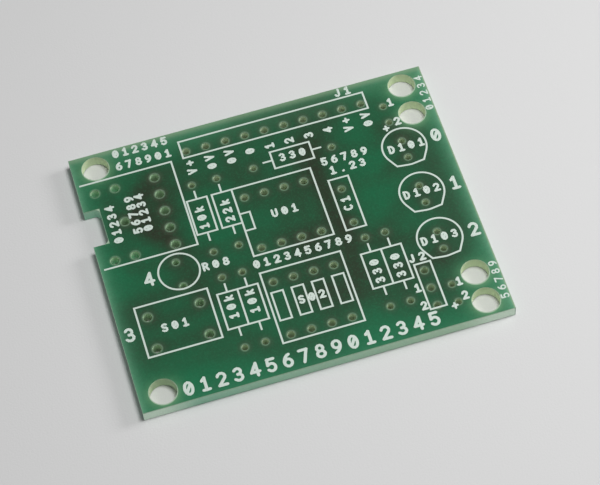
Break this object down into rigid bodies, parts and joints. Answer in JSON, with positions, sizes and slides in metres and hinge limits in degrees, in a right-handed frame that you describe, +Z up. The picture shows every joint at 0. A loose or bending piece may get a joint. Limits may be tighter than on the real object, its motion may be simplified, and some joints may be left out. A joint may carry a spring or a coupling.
{
  "type": "microcontroller experimenter board, bare circuit board",
  "caption": "Bare green printed circuit board for a microcontroller experimenter kit, with drilled lead holes, white printed outlines, corner screw holes and a socket notch.",
  "frame": {"origin": "middle of the board's underside, where it rests", "axes": "+X to the right along the ten hole header, +Y away from the front edge, +Z up out of the printed side"},
  "size_m": [0.046, 0.0374, 0.0017],
  "materials": {
    "laminate": "satin green solder resist on pale glass epoxy",
    "copper": "etched foil, tinned at the pads",
    "legend": "matt white ink"
  },
  "bodies": {
    "root": {"conductor_button": "copper", "conductor_channel_0": "copper", "conductor_channel_1": "copper", "conductor_channel_2": "copper", "conductor_channel_3": "copper", "conductor_channel_4": "copper", "conductor_download_in": "copper", "conductor_ground": "copper", "conductor_led_1": "copper", "conductor_led_2": "copper", "conductor_led_3": "copper", "conductor_positive": "copper", "conductor_sensor": "copper", "conductor_serial_in": "copper", "conductor_sounder": "copper", "conductor_switched_1": "copper", "conductor_switched_2": "copper", "laminate": "laminate", "legend_button": "legend", "legend_capacitor": "legend", "legend_header": "legend", "legend_led_1": "legend", "legend_led_2": "legend", "legend_led_3": "legend", "legend_link_header": "legend", "legend_microcontroller": "legend", "legend_resistor_1": "legend", "legend_resistor_3": "legend", "legend_resistors_4_5": "legend", "legend_resistors_6_7": "legend", "legend_sensor": "legend", "legend_socket": "legend", "legend_switch_bank": "legend", "legend_switch_slides": "legend"}
  },
  "joints": []
}
